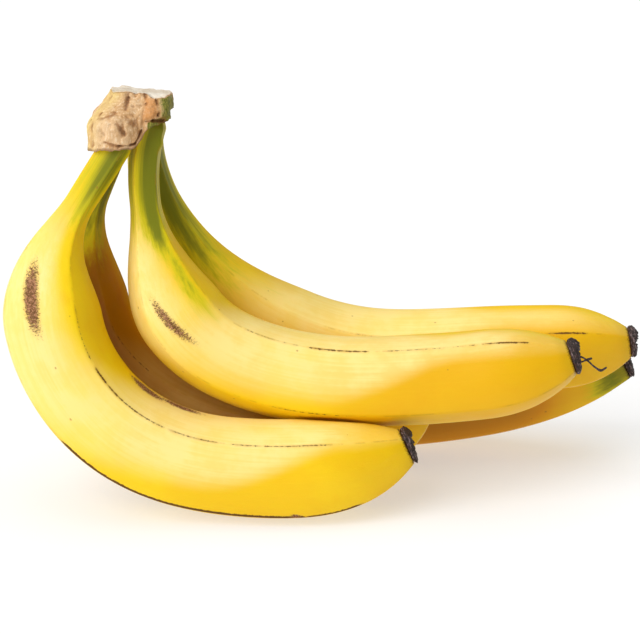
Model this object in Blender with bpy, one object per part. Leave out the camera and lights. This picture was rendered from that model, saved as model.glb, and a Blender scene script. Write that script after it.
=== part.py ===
"""A hand of five bananas on one cut crown, resting on the bellies of its three low fingers.

Units: metres, +Z up. The driving dimensions are in millimetres and degrees, and MM turns them into
metres. The origin is under the middle of the hand, on the surface that it rests on.

Each finger is bent in a plane of its own. Its centreline starts at a root inside the crown and follows a
heading, where 0 degrees points along +X and 270 degrees straight down. Places on its skin are given by t,
from 0 at the root to 1 at the blossom end, and by an angle round the centreline, where 0 degrees faces
the inside of the bend and 90 degrees faces the front of the hand.
"""
import math

import bmesh
import bpy
import numpy as np
from mathutils import Vector, noise

MM = 0.001

# The roots' places count from a point in the hand. Its base point, given from there, becomes the origin.
BASE_POINT = (4.18, -1.27, 1.2)

# The stations along a finger at which its heading is given.
HEADING_STATIONS = (0.0, 0.14, 0.28, 0.46, 0.70, 0.88, 1.0)

# Fingers: place of the root, headings, length, how far the bend's plane leans back and turns, radius of
# the pedicel, the belly and the blossom end, where the neck starts and ends, where the end starts to
# narrow, and the angles of the five ridges.
FINGERS = {
    "banana_front_low": dict(
        root=(-72.0, -14.0, 144.2), headings=(237, 238, 268, 308, 352, 367, 385), length=240.5,
        lean=11.5, turn=0.0, pedicel=6.0, belly=18.7, end=7.4, neck=(0.13, 0.33), narrows=0.82,
        ridges=(-8, 53, 146, 219, 288)),
    "banana_middle_low": dict(
        root=(-73.0, 3.5, 144.0), headings=(243, 249, 271, 314, 350, 372, 402), length=235.0,
        lean=-1.0, turn=-4.0, pedicel=6.2, belly=17.5, end=7.6, neck=(0.14, 0.33), narrows=0.85,
        ridges=(-14, 50, 136, 212, 280)),
    "banana_back_low": dict(
        root=(-67.0, 18.5, 146.5), headings=(262, 276, 294, 325, 366.5, 373, 387), length=284.4,
        lean=-9.0, turn=-1.0, pedicel=6.1, belly=16.7, end=7.2, neck=(0.17, 0.41), narrows=0.72,
        ridges=(-20, 44, 126, 200, 274)),
    "banana_front_high": dict(
        root=(-60.5, -6.0, 150.0), headings=(246, 274, 289, 336.5, 362, 367.5, 378.5), length=237.4,
        lean=7.0, turn=-1.0, pedicel=6.0, belly=17.8, end=7.4, neck=(0.15, 0.35), narrows=0.845,
        ridges=(-28, 38, 122, 196, 266)),
    "banana_back_high": dict(
        root=(-63.5, 8.5, 149.0), headings=(255, 290, 305, 334.5, 362.5, 361.5, 369), length=248.4,
        lean=-4.0, turn=0.0, pedicel=5.8, belly=16.9, end=6.4, neck=(0.14, 0.47), narrows=0.875,
        ridges=(-24, 47, 128, 200, 266)),
}

# How a finger narrows towards its end: a higher power keeps it full for longer.
END_FULLNESS = 2.4

# How deep each face sinks between two evenly spaced ridges, as a share of the radius.
RIDGE_SPACING = 72.0
FACE_DIP_NECK = 0.15
FACE_DIP_BELLY = 0.055
FACE_DIP_END = 0.11
RIDGE_ROUNDING = 0.22

# Inside the crown a pedicel thins out towards its root.
ROOT_SHARE = 0.5
ROOT_ENDS_AT = 0.03

# Mesh of a finger.
STATIONS = 32
SIDES_PER_FACE = 5
END_CROWDING = 0.5

# Fingers that grew against each other, and the table under the lowest, flatten the skin.
CONTACT_GAP = 0.4
PRESS_STEPS = 16
CENTRELINE_SAMPLES = 240

# Crown: the stump that the five pedicels grow from, with its knife cut on top. A lobe is a place on
# the plan and a radius, and the rim's lift in front is an angle, a half width and a height.
CROWN_AXIS = (-69.5, 3.0)
CROWN_LOBES = (
    (-76.4, -13.5, 9.9),
    (-77.0, 6.0, 9.2),
    (-64.0, -8.0, 8.6),
    (-64.0, 8.0, 8.6),
    (-68.0, 18.5, 9.4),
)
LOBE_BLEND = 7.0
CROWN_RIM_X = (-88.0, -69.0, -63.5, -56.0)
CROWN_RIM_HEIGHT = (136.5, 137.5, 144.5, 147.0)
FRONT_RIM_LIFT = (254.0, 16.0, 1.5)
CUT_CENTRE = (-67.0, 2.0)
CUT_HALF_SIZE = (11.4, 11.5)
CUT_SQUARENESS = 4.5
CUT_HEIGHT = 155.4
CUT_FALL = (0.10, 0.14)
LOBES_END = 0.35
CROWN_LEVELS = 8
CROWN_SIDES = 40
CROWN_RUGGEDNESS = 0.9
CROWN_RUG_SIZE = 7.0
UNDERSIDE_RISE = 2.5
UNDERSIDE_RINGS = ((0.55, 1.0), (0.86, 0.33))
CUT_RING = 0.9
SOCKET_CLEARANCE = 0.35
SOCKET_REACH = 0.12
SOCKET_STATIONS = 6

# Dried blossom ends: distance from the finger's end and share of its radius, ring by ring. They are
# thicker on the side that faces the inside of the bend.
BLOSSOM_GAP = 0.3
BLOSSOM_THICKER = 0.32
BLOSSOM_RINGS = ((0.0, 0.86), (0.8, 0.99), (2.0, 0.98), (3.0, 0.74), (2.5, 0.4))
BLOSSOM_MIDDLE = 3.2
BLOSSOM_SIDES = 20
BLOSSOM_RAGGEDNESS = 0.09
RAGS_ROUND = 3.0
RAGS_BETWEEN_ENDS = 0.1
CLEARING_STEPS = 21

# Two dried threads of the flower on one finger: along its axis, towards the inside and to the front.
THREAD_FINGER = "banana_front_high"
THREADS = (
    ((1.5, 0.6, 3.0), (3.7, 0.2, 3.6), (5.5, -1.6, 4.2), (7.2, -4.7, 4.5), (8.8, -7.1, 4.7),
     (11.8, -6.5, 5.0)),
    ((1.5, -2.4, 3.0), (3.2, -1.9, 3.5), (5.5, -1.6, 4.2), (7.6, -1.4, 4.8)),
)
THREAD_RADIUS = (0.7, 0.45, 0.4, 0.45, 0.6, 0.5)
THREAD_SIDES = 5

# Colour and roughness of each tissue.
SKIN = ((0.83, 0.58, 0.07, 1.0), 0.45)
CORK = ((0.55, 0.38, 0.20, 1.0), 0.85)
DRIED_FLOWER = ((0.045, 0.03, 0.02, 1.0), 0.9)


def clear_scene():
    for thing in list(bpy.data.objects):
        bpy.data.objects.remove(thing, do_unlink=True)


def ease(u):
    u = np.clip(u, 0.0, 1.0)
    return u * u * (3.0 - 2.0 * u)


def glide(stations, values, t):
    """A smooth curve through the values that never swings past them."""
    x, y, t = np.asarray(stations, float), np.asarray(values, float), np.asarray(t, float)
    step, rise = np.diff(x), np.diff(y) / np.diff(x)
    slope = np.zeros_like(y)
    same_way = rise[:-1] * rise[1:] > 0
    before, after = 2 * step[1:] + step[:-1], step[1:] + 2 * step[:-1]
    safe = np.where(same_way, 1.0, np.inf)
    slope[1:-1] = (before + after) / safe / (before / np.where(same_way, rise[:-1], 1.0)
                                             + after / np.where(same_way, rise[1:], 1.0))
    slope[0], slope[-1] = rise[0], rise[-1]
    k = np.clip(np.searchsorted(x, t, side="right") - 1, 0, len(step) - 1)
    u = (t - x[k]) / step[k]
    return (y[k] * (1 + 2 * u) * (1 - u) ** 2 + slope[k] * step[k] * u * (1 - u) ** 2
            + y[k + 1] * u * u * (3 - 2 * u) + slope[k + 1] * step[k] * u * u * (u - 1))


class Finger:
    """One banana: a bent centreline with a ridged section round it, in millimetres."""

    def __init__(self, root, headings, length, lean, turn, pedicel, belly, end, neck, narrows, ridges):
        self.pedicel, self.belly, self.end = pedicel, belly, end
        self.neck, self.narrows = neck, narrows
        self.ridges = np.radians(np.array(ridges + (ridges[0] + 360,), float))
        lean, turn = math.radians(lean), math.radians(turn)
        self.side = np.array((math.cos(turn), math.sin(turn), 0.0))
        self.rise = np.array((0.0, math.sin(lean), math.cos(lean)))
        front = np.cross(self.side, self.rise)
        self.front = front / np.linalg.norm(front)
        self.samples = np.linspace(0.0, 1.0, CENTRELINE_SAMPLES)
        self.heading = np.radians(glide(HEADING_STATIONS, headings, self.samples))
        step = length / (CENTRELINE_SAMPLES - 1)
        run = self.walk(np.cos(self.heading), step)
        climb = self.walk(np.sin(self.heading), step)
        start = np.array(root) - np.array(BASE_POINT)
        self.centre = start + run[:, None] * self.side + climb[:, None] * self.rise

    @staticmethod
    def walk(speed, step):
        return np.concatenate(([0.0], np.cumsum((speed[1:] + speed[:-1]) / 2 * step)))

    def place(self, t):
        return np.stack([np.interp(t, self.samples, self.centre[:, axis]) for axis in range(3)], -1)

    def inward(self, t):
        heading = np.interp(t, self.samples, self.heading)[..., None]
        return -np.sin(heading) * self.side + np.cos(heading) * self.rise

    def onward(self, t):
        heading = np.interp(t, self.samples, self.heading)[..., None]
        return np.cos(heading) * self.side + np.sin(heading) * self.rise

    def outward(self, t, angle):
        angle = np.asarray(angle)[..., None]
        return np.cos(angle) * self.inward(t) + np.sin(angle) * self.front

    def radius(self, t, angle):
        """Radius of the ridged section, before any neighbour flattens it."""
        grow = ease((t - self.neck[0]) / (self.neck[1] - self.neck[0]))
        narrow = np.clip((t - self.narrows) / (1 - self.narrows), 0, 1) ** END_FULLNESS
        mean = self.pedicel + (self.belly - self.pedicel) * grow
        mean = mean * (1 - narrow * (1 - self.end / self.belly))
        mean = mean * (ROOT_SHARE + (1 - ROOT_SHARE) * ease(t / ROOT_ENDS_AT))
        dip = FACE_DIP_NECK + (FACE_DIP_BELLY - FACE_DIP_NECK) * grow
        dip = dip + (FACE_DIP_END - FACE_DIP_BELLY) * narrow
        first = self.ridges[0]
        angle = (np.asarray(angle) - first) % (2 * math.pi) + first
        face = np.clip(np.searchsorted(self.ridges, angle, side="right") - 1, 0, 4)
        width = self.ridges[face + 1] - self.ridges[face]
        across = 2 * (angle - self.ridges[face]) / width - 1
        sink = (np.hypot(1 - across ** 2, RIDGE_ROUNDING) - RIDGE_ROUNDING) / (
            math.hypot(1, RIDGE_ROUNDING) - RIDGE_ROUNDING)
        return mean * (1 + dip / 2 - dip * (width / math.radians(RIDGE_SPACING)) ** 2 * sink)

    def outside(self, points):
        """How far points lie outside this finger's skin, and below zero inside it."""
        apart = np.linalg.norm(points[:, None] - self.centre[None], axis=2)
        nearest = apart.argmin(axis=1)
        t = self.samples[nearest]
        reach = points - self.centre[nearest]
        angle = np.arctan2(reach @ self.front, (reach * self.inward(t)).sum(axis=1))
        return apart[np.arange(len(points)), nearest] - self.radius(t, angle)

    def angles(self, sides_per_face):
        """Angles round the section, with one on each ridge."""
        parts = [np.linspace(a, b, sides_per_face, endpoint=False)
                 for a, b in zip(self.ridges[:-1], self.ridges[1:])]
        return np.concatenate(parts)


def pressed_skin(finger, neighbours, t, angle, gap):
    """Points of the skin at t and angle, flattened against the neighbours and the table."""
    centre, out = finger.place(t), finger.outward(t, angle)
    full = finger.radius(t, angle)
    reach = full.copy()
    for other in neighbours:
        def room(length, pick):
            return other.outside(centre[pick] + length[:, None] * out[pick]) - (length - full[pick]) - gap
        pick = np.nonzero(room(reach, slice(None)) < 0)[0]
        low, high = np.zeros(len(pick)), reach[pick]
        for _ in range(PRESS_STEPS):
            middle = (low + high) / 2
            fits = room(middle, pick) >= 0
            low, high = np.where(fits, middle, low), np.where(fits, high, middle)
        reach[pick] = low
    points = centre + reach[:, None] * out
    points[:, 2] = np.maximum(points[:, 2], 0.0)
    return points


def crowded(count):
    """Steps from 0 to 1 that stand closer together near both ends."""
    u = np.linspace(0, 1, count)
    return u - END_CROWDING * np.sin(2 * math.pi * u) / (2 * math.pi)


def tube_mesh(name, rings, first_middle, last_middle):
    """A closed mesh from rings of points in millimetres, with a middle point at each end."""
    mesh = bmesh.new()
    loops = [[mesh.verts.new(Vector(p) * MM) for p in ring] for ring in rings]
    count = len(loops[0])
    for one, two in zip(loops, loops[1:]):
        for i in range(count):
            j = (i + 1) % count
            mesh.faces.new((one[i], one[j], two[j], two[i]))
    for loop, middle in ((loops[0][::-1], first_middle), (loops[-1], last_middle)):
        tip = mesh.verts.new(Vector(middle) * MM)
        for i in range(count):
            mesh.faces.new((loop[i], loop[(i + 1) % count], tip))
    bmesh.ops.recalc_face_normals(mesh, faces=mesh.faces)
    data = bpy.data.meshes.new(name)
    mesh.to_mesh(data)
    mesh.free()
    return data


def plain_material(name, colour, roughness):
    material = bpy.data.materials.new(name)
    material.use_nodes = True
    shader = material.node_tree.nodes["Principled BSDF"]
    shader.inputs["Base Color"].default_value = colour
    shader.inputs["Roughness"].default_value = roughness
    shader.inputs["Metallic"].default_value = 0.0
    return material


def add_object(name, data, material):
    thing = bpy.data.objects.new(name, data)
    bpy.context.scene.collection.objects.link(thing)
    data.materials.append(material)
    data.shade_smooth()
    return thing


def finger_rings(finger, neighbours, stations, spread=0.0):
    """Rings of skin points along a finger, moved outwards by spread."""
    angles = finger.angles(SIDES_PER_FACE)
    t, angle = np.meshgrid(stations, angles, indexing="ij")
    points = pressed_skin(finger, neighbours, t.ravel(), angle.ravel(), CONTACT_GAP)
    points += spread * finger.outward(t.ravel(), angle.ravel())
    return points.reshape(len(stations), len(angles), 3)


def make_finger(name, finger, neighbours, material):
    rings = finger_rings(finger, neighbours, crowded(STATIONS))
    data = tube_mesh(name, rings, finger.place(0.0), finger.place(1.0))
    return add_object(name, data, material)


def clear_of(point, middle, neighbours):
    """The point, drawn towards the middle until it stands clear of the neighbours."""
    for share in np.linspace(1.0, 0.0, CLEARING_STEPS):
        near = middle + share * (point - middle)
        if all(other.outside(near[None])[0] > CONTACT_GAP for other in neighbours):
            return near
    return middle


def make_blossom(name, finger, neighbours, material):
    """The dry stump of the flower: a ragged disc with a hollow round its middle."""
    end, onward = finger.place(1.0), finger.onward(1.0)
    angles = np.linspace(0, 2 * math.pi, BLOSSOM_SIDES, endpoint=False)
    rings = []
    for away, share in BLOSSOM_RINGS:
        ring = []
        for angle in angles:
            out = finger.outward(np.array(1.0), np.array(angle))
            rag = noise.noise(Vector(out * RAGS_ROUND + end * RAGS_BETWEEN_ENDS)) * BLOSSOM_RAGGEDNESS
            reach = finger.radius(1.0, angle) * share * (1 + rag)
            middle = end + onward * (BLOSSOM_GAP + away * (1 + BLOSSOM_THICKER * math.cos(angle)))
            ring.append(clear_of(middle + out * reach, middle, neighbours))
        rings.append(ring)
    data = tube_mesh(name, rings, end + onward * BLOSSOM_GAP, end + onward * (BLOSSOM_GAP + BLOSSOM_MIDDLE))
    return add_object(name, data, material)


def make_thread(name, finger, route):
    """A dried thread, from inside the blossom end out along its route."""
    end, onward, inward = finger.place(1.0), finger.onward(1.0), finger.inward(1.0)
    steps = np.linspace(0, 1, 2 * len(route) - 1)
    marks = np.linspace(0, 1, len(route))
    along, inside, front = (glide(marks, values, steps) for values in zip(*route))
    points = [end + a * onward + b * inward + c * finger.front for a, b, c in zip(along, inside, front)]
    widths = glide(np.linspace(0, 1, len(THREAD_RADIUS)), THREAD_RADIUS, steps)
    rings = []
    for i, (point, width) in enumerate(zip(points, widths.tolist())):
        ahead = points[min(i + 1, len(points) - 1)] - points[max(i - 1, 0)]
        ahead = Vector(ahead).normalized()
        across = ahead.cross(Vector(finger.front)).normalized()
        other = ahead.cross(across)
        turns = [2 * math.pi * k / THREAD_SIDES for k in range(THREAD_SIDES)]
        rings.append([Vector(point) + width * (math.cos(a) * across + math.sin(a) * other) for a in turns])
    return tube_mesh(name, rings, points[0], points[-1])


def boolean(target, cutter_data, name, operation):
    """Join or cut one object with a mesh, and keep the mesh out of the model."""
    cutter = bpy.data.objects.new(name, cutter_data)
    bpy.context.scene.collection.objects.link(cutter)
    cutter.hide_render = True
    cutter.display_type = "WIRE"
    modifier = target.modifiers.new(name, "BOOLEAN")
    modifier.operation = operation
    modifier.solver = "EXACT"
    modifier.object = cutter


def lobed_reach(angle):
    """Distance from the crown's axis to the outline round the five pedicels."""
    total = 0.0
    for x, y, radius in CROWN_LOBES:
        x, y = x - CROWN_AXIS[0], y - CROWN_AXIS[1]
        along = x * math.cos(angle) + y * math.sin(angle)
        aside = x * math.sin(angle) - y * math.cos(angle)
        if abs(aside) < radius:
            total += max(along + math.sqrt(radius ** 2 - aside ** 2), 0.0) ** LOBE_BLEND
    return total ** (1 / LOBE_BLEND)


def cut_reach(angle):
    """Distance from the cut's centre to its edge, a rounded oblong."""
    across = abs(math.cos(angle) / CUT_HALF_SIZE[0]) ** CUT_SQUARENESS
    back = abs(math.sin(angle) / CUT_HALF_SIZE[1]) ** CUT_SQUARENESS
    return (across + back) ** (-1 / CUT_SQUARENESS)


def crown_point(angle, level, share=1.0):
    """A point of the crown: level 0 is the lower rim, 1 the cut, and share 0 the axis."""
    direction = np.array((math.cos(angle), math.sin(angle)))
    low = np.array(CROWN_AXIS) + direction * lobed_reach(angle) * share
    high = np.array(CUT_CENTRE) + direction * cut_reach(angle) * share
    x, y = low + (high - low) * float(ease((level - LOBES_END) / (1 - LOBES_END)))
    rim = float(glide(CROWN_RIM_X, CROWN_RIM_HEIGHT, np.clip(low[0], CROWN_RIM_X[0], CROWN_RIM_X[-1])))
    lifted, half_width, lift = FRONT_RIM_LIFT
    turned = (math.degrees(angle) - lifted + 180) % 360 - 180
    rim += lift * math.exp(-(turned / half_width) ** 2)
    cut = CUT_HEIGHT - CUT_FALL[0] * (x - CUT_CENTRE[0]) - CUT_FALL[1] * (y - CUT_CENTRE[1])
    height = rim + (cut - rim) * level
    here = Vector((x, y, height)) / CROWN_RUG_SIZE
    rug = noise.noise(here) * CROWN_RUGGEDNESS * share
    x, y = np.array((x, y)) + direction * rug
    return np.array((x, y, height)) - np.array(BASE_POINT)


def make_crown(fingers, material):
    angles = np.linspace(0, 2 * math.pi, CROWN_SIDES, endpoint=False)
    rings = []
    for share, rise in UNDERSIDE_RINGS:
        rings.append([crown_point(a, 0.0, share=share) + (0, 0, UNDERSIDE_RISE * rise) for a in angles])
    for level in np.linspace(0, 1, CROWN_LEVELS):
        rings.append([crown_point(a, level) for a in angles])
    rings.append([crown_point(a, 1.0, share=CUT_RING) for a in angles])
    under = crown_point(0.0, 0.0, share=0.0) + (0, 0, UNDERSIDE_RISE)
    data = tube_mesh("crown", rings, under, crown_point(0.0, 1.0, share=0.0))
    crown = add_object("crown", data, material)
    for name, finger in fingers.items():
        others = [f for other, f in fingers.items() if other != name]
        stations = np.linspace(0, SOCKET_REACH, SOCKET_STATIONS)
        socket = finger_rings(finger, others, stations, spread=SOCKET_CLEARANCE)
        socket[0] -= SOCKET_CLEARANCE * finger.onward(0.0)
        ends = socket[0].mean(axis=0), socket[-1].mean(axis=0)
        boolean(crown, tube_mesh("socket", socket, *ends), "socket_" + name, "DIFFERENCE")
    return crown


def build():
    clear_scene()
    fingers = {name: Finger(**sizes) for name, sizes in FINGERS.items()}
    for name, finger in fingers.items():
        others = [f for other, f in fingers.items() if other != name]
        make_finger(name, finger, others, plain_material("skin_" + name, *SKIN))
        blossom_name = name.replace("banana", "blossom_end")
        blossom = make_blossom(blossom_name, finger, others, plain_material(blossom_name, *DRIED_FLOWER))
        if name == THREAD_FINGER:
            for number, route in enumerate(THREADS, 1):
                boolean(blossom, make_thread("thread", finger, route), f"thread_{number}", "UNION")
    make_crown(fingers, plain_material("crown", *CORK))


build()
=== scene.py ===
"""The looks of a hand of five bananas: its peel, its cork crown and the dried flowers on its ends.

Lengths are in millimetres and angles in degrees unless a name says otherwise, and MM turns them into
the scene's metres. A place on a finger's peel is given by t, from 0 at the root in the crown to 1 at the
blossom end, and by an angle round the centreline, where 0 faces the inside of the bend and 90 the front.
"""
import math

import bmesh
import bpy
import numpy as np
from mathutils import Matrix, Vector, noise


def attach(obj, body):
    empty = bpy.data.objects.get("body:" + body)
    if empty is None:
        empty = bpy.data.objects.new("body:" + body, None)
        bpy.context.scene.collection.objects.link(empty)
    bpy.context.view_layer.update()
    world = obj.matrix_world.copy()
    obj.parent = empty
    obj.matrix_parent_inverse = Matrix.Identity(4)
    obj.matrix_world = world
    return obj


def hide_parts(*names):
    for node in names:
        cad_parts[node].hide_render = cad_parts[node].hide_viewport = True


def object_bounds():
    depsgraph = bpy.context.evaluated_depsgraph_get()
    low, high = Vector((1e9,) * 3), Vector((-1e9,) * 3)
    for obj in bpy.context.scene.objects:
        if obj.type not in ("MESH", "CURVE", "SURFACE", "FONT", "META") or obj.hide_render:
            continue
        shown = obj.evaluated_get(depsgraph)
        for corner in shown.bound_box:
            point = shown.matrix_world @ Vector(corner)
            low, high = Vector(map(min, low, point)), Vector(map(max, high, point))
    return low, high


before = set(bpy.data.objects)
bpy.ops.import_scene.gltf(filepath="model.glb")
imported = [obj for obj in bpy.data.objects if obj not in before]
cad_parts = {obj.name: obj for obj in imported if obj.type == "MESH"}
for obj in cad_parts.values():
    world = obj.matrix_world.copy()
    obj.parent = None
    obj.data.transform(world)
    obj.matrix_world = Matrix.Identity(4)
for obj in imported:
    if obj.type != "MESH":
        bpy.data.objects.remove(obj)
cad_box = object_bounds()

MM = 0.001
FULL_TURN = 2 * math.pi

# Form of the hand, as in the source of the solids.
BASE_POINT = (4.18, -1.27, 1.2)
HEADING_STATIONS = (0.0, 0.14, 0.28, 0.46, 0.70, 0.88, 1.0)
FINGERS = {
    "front_low": dict(
        root=(-72.0, -14.0, 144.2), headings=(237, 238, 268, 308, 352, 367, 385), length=240.5,
        lean=11.5, turn=0.0, pedicel=6.0, belly=18.7, end=7.4, neck=(0.13, 0.33), narrows=0.82,
        ridges=(-8, 53, 146, 219, 288)),
    "middle_low": dict(
        root=(-73.0, 3.5, 144.0), headings=(243, 249, 271, 314, 350, 372, 402), length=235.0,
        lean=-1.0, turn=-4.0, pedicel=6.2, belly=17.5, end=7.6, neck=(0.14, 0.33), narrows=0.85,
        ridges=(-14, 50, 136, 212, 280)),
    "back_low": dict(
        root=(-67.0, 18.5, 146.5), headings=(262, 276, 294, 325, 366.5, 373, 387), length=284.4,
        lean=-9.0, turn=-1.0, pedicel=6.1, belly=16.7, end=7.2, neck=(0.17, 0.41), narrows=0.72,
        ridges=(-20, 44, 126, 200, 274)),
    "front_high": dict(
        root=(-60.5, -6.0, 150.0), headings=(246, 274, 289, 336.5, 362, 367.5, 378.5), length=237.4,
        lean=7.0, turn=-1.0, pedicel=6.0, belly=17.8, end=7.4, neck=(0.15, 0.35), narrows=0.845,
        ridges=(-28, 38, 122, 196, 266)),
    "back_high": dict(
        root=(-63.5, 8.5, 149.0), headings=(255, 290, 305, 334.5, 362.5, 361.5, 369), length=248.4,
        lean=-4.0, turn=0.0, pedicel=5.8, belly=16.9, end=6.4, neck=(0.14, 0.47), narrows=0.875,
        ridges=(-24, 47, 128, 200, 266)),
}
END_FULLNESS = 2.4
FACE_DIP_NECK = 0.15
FACE_DIP_BELLY = 0.085
FACE_DIP_END = 0.11
RIDGE_ROUNDING = 0.13
RIDGES = 5
RIDGE_SPACING = 360.0 / RIDGES
ROOT_SHARE = 0.5
ROOT_ENDS_AT = 0.03
CENTRELINE_SAMPLES = 240
END_CROWDING = 0.5

# Peel: fineness of its mesh, its gap to a neighbour and how far it stays inside the solid.
PEEL_STATIONS = 300
PEEL_SIDES_PER_FACE = 26
PEEL_GAP = 0.3
PEEL_INSET = 0.42
BOX_MARGIN = 0.04
PRESS_STEPS = 16
PRESS_SOFTENING = 4

# Distance between the fingers in the noise of their skin, so that no two are alike.
APART = 1000.0

# Relief of the peel: height, then size along and round the finger.
LUMPS = (0.34, 30.0, 13.0)
RIPPLES = (0.07, 34.0, 1.7)
RIDGE_BEAD = (0.16, 0.8)
SCAB_RELIEF = (0.22, 1.1)
RELIEF_ENDS = 0.02

# Rounded edge of the peel at the dried flower: distance onward and share of the last ring.
PEEL_LIPS = ((0.12, 0.95), (0.05, 0.84))
PEEL_MIDDLE_SINK = 0.3

# Green of the neck: strength all round and more on its deeper side, partly painted shade, where along the
# finger it starts to fade and has gone, and the angle of the deeper side and its half width.
GREEN = {
    "front_low": (0.46, 0.46, 0.05, 0.27, 58, 36),
    "middle_low": (0.60, 0.40, 0.09, 0.33, 60, 50),
    "back_low": (0.45, 0.45, 0.10, 0.34, 250, 50),
    "front_high": (0.58, 0.74, 0.12, 0.31, 60, 24),
    "back_high": (0.56, 0.44, 0.08, 0.48, 62, 50),
}

# A last yellow-green trail of the neck: strength, where it has faded, its angle and half width.
GREEN_TRAILS = {"front_high": (0.50, 0.50, 48, 20), "back_high": (0.22, 0.60, 20, 40)}
TRAIL_FADE = 0.22

# A green end: strength, where it starts and where it is whole.
GREEN_ENDS = {"back_low": (0.74, 0.90, 0.985)}

# Tones of each skin: strength of its painted highlight and from where along it that draws back to the top,
# how golden it is, how far painted shade browns its shaded side, and how golden in front towards the end.
TONES = {
    "front_low": (0.95, 0.68, 0.0, 0.0, 0.10),
    "middle_low": (0.30, 0.56, 0.30, 1.40, 0.0),
    "back_low": (0.35, 0.56, 0.28, 1.20, 0.0),
    "front_high": (0.92, 0.60, 0.08, 0.0, 0.40),
    "back_high": (0.85, 0.58, 0.06, 0.0, 0.36),
}

# Painted highlight: the side that it faces, how directly skin faces that side where it starts, and how
# much more until it is palest, before and after it draws back, and where along the finger it starts and
# ends.
PAINTED_HIGHLIGHT_SIDE = (-0.60, -0.27, 0.75)
PALE_DRAWS_BACK = 0.22
PALE_FROM = (0.05, 0.69)
PALE_REACH = (0.45, 0.19)
PALE_STARTS = (0.10, 0.16)
PALE_ENDS = (0.86, 0.10, 0.75)

# Where the side with painted shade and the golden end are, and the painted shade where fingers press.
SHADED_ANGLE = 70.0
SHADED_SPAN = (0.13, 0.95, 0.12)
END_RIPENS = (0.58, 0.18)
PRESSED_SHADE = (0.7, 0.6)

# Dark lines on ridges: number of the ridge, from t, to t and darkness, with soft ends.
LINE_FADE = 0.012
LINES = {
    "front_low": (
        (1, 0.30, 0.42, 0.45), (1, 0.418, 0.468, 1.0), (1, 0.46, 0.60, 0.72), (1, 0.60, 0.70, 0.55),
        (1, 0.71, 0.89, 0.55),
        (2, 0.48, 0.84, 2.3), (2, 0.83, 0.92, 1.5), (0, 0.46, 0.72, 0.6), (3, 0.40, 0.62, 0.5),
        (4, 0.55, 0.80, 0.45)),
    "middle_low": (
        (1, 0.35, 0.50, 0.4), (2, 0.60, 0.80, 0.6), (3, 0.45, 0.70, 0.6), (4, 0.52, 0.60, 0.5)),
    "back_low": (
        (1, 0.60, 0.78, 0.5), (2, 0.40, 0.52, 0.5), (3, 0.55, 0.83, 0.6), (4, 0.35, 0.62, 0.5)),
    "front_high": (
        (1, 0.44, 0.56, 0.35), (1, 0.565, 0.68, 0.85), (1, 0.70, 0.86, 0.4), (1, 0.855, 0.945, 0.85),
        (2, 0.52, 0.66, 0.4), (4, 0.60, 0.72, 0.6)),
    "back_high": (
        (1, 0.55, 0.70, 0.25), (1, 0.865, 0.935, 0.95), (2, 0.62, 0.70, 0.5), (3, 0.40, 0.58, 0.5),
        (4, 0.30, 0.42, 0.4)),
}

# Scabs: t, angle, half length and half width in millimetres, slant in degrees and density.
SCABS = {
    "front_low": (
        (0.289, 109.5, 13.6, 3.2, -9, 1.0), (0.53, 4, 11.5, 2.9, 0, 1.0), (0.61, -1, 12.5, 2.4, 0, 0.9),
        (0.56, 162, 13.0, 0.8, 12, 0.8), (0.82, 144, 2.2, 1.2, 0, 0.9), (0.47, 240, 7.0, 2.4, 10, 0.6),
        (0.66, 300, 3.0, 1.3, 0, 0.7)),
    "middle_low": ((0.52, 246, 8.0, 2.2, -12, 0.6), (0.70, 96, 2.0, 1.0, 0, 0.8)),
    "back_low": ((0.44, 236, 9.0, 2.8, 8, 0.7), (0.68, 262, 3.5, 1.2, 0, 0.7)),
    "front_high": (
        (0.339, 97.5, 12.8, 2.2, -14, 0.76), (0.60, 255, 5.0, 1.5, -8, 0.7)),
    "back_high": ((0.45, 232, 10.0, 2.6, 10, 0.75), (0.66, 250, 4.0, 1.4, 0, 0.7)),
}

# A small green knob on one pedicel, close under the crown: t, angle, radius and height.
KNOB_FINGER = "front_high"
KNOB = (0.052, 22, 2.3, 1.0)

# Crown, as in the source of the solids.
CROWN_AXIS = (-69.5, 3.0)
CROWN_LOBES = (
    (-76.4, -13.5, 9.9),
    (-77.0, 6.0, 9.2),
    (-64.0, -8.0, 8.6),
    (-64.0, 8.0, 8.6),
    (-68.0, 18.5, 9.4),
)
LOBE_BLEND = 7.0
CROWN_RIM_X = (-88.0, -69.0, -63.5, -56.0)
CROWN_RIM_HEIGHT = (136.5, 137.5, 144.5, 147.0)
CUT_CENTRE = (-67.0, 2.0)
CUT_HALF_SIZE = (11.4, 11.5)
CUT_SQUARENESS = 4.5
CUT_HEIGHT = 155.4
CUT_FALL = (0.10, 0.14)
LOBES_END = 0.35
CROWN_RUGGEDNESS = 0.9
CROWN_RUG_SIZE = 7.0
UNDERSIDE_RISE = 2.5
UNDERSIDE_ROWS = ((0.5, 1.0), (0.8, 0.5), (0.93, 0.12))

# Crown: fineness of its mesh and its own relief.
CROWN_SIDES = 280
CROWN_ROWS = 96
CUT_ROWS = 34
CORK_GRAIN = ((0.75, 3.4), (0.42, 1.5), (0.15, 0.6))
GOUGES = (1.7, 2.8, 4.5)
GOUGES_START = 0.05
PIT_UNEVENNESS = (0.35, 1.3)
SIDE_STARTS = 0.95

# Lower rim: height and size of its rags, and the levels of them and of its burnt edge with painted shade.
RIM_RAGS = ((0.9, 2.2), (0.35, 0.8))
RIM_LEVEL = 0.05
BURNT_AND_SHADED_LEVEL = 0.07

# Knife cut: depth, size and rarity of nicks, fine grain, bowl, crumbs and rounding of its edge.
CUT_NICKS = (0.88, 1.9, 0.25)
CUT_GRAIN = (0.08, 0.7)
CUT_BOWL = 0.35
CUT_CRUMBLES = (0.9, 16.0, 2.6)
EDGE_LEVEL = 0.035
EDGE_INWARD = 0.35
EDGE_DOWN = 0.25

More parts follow.
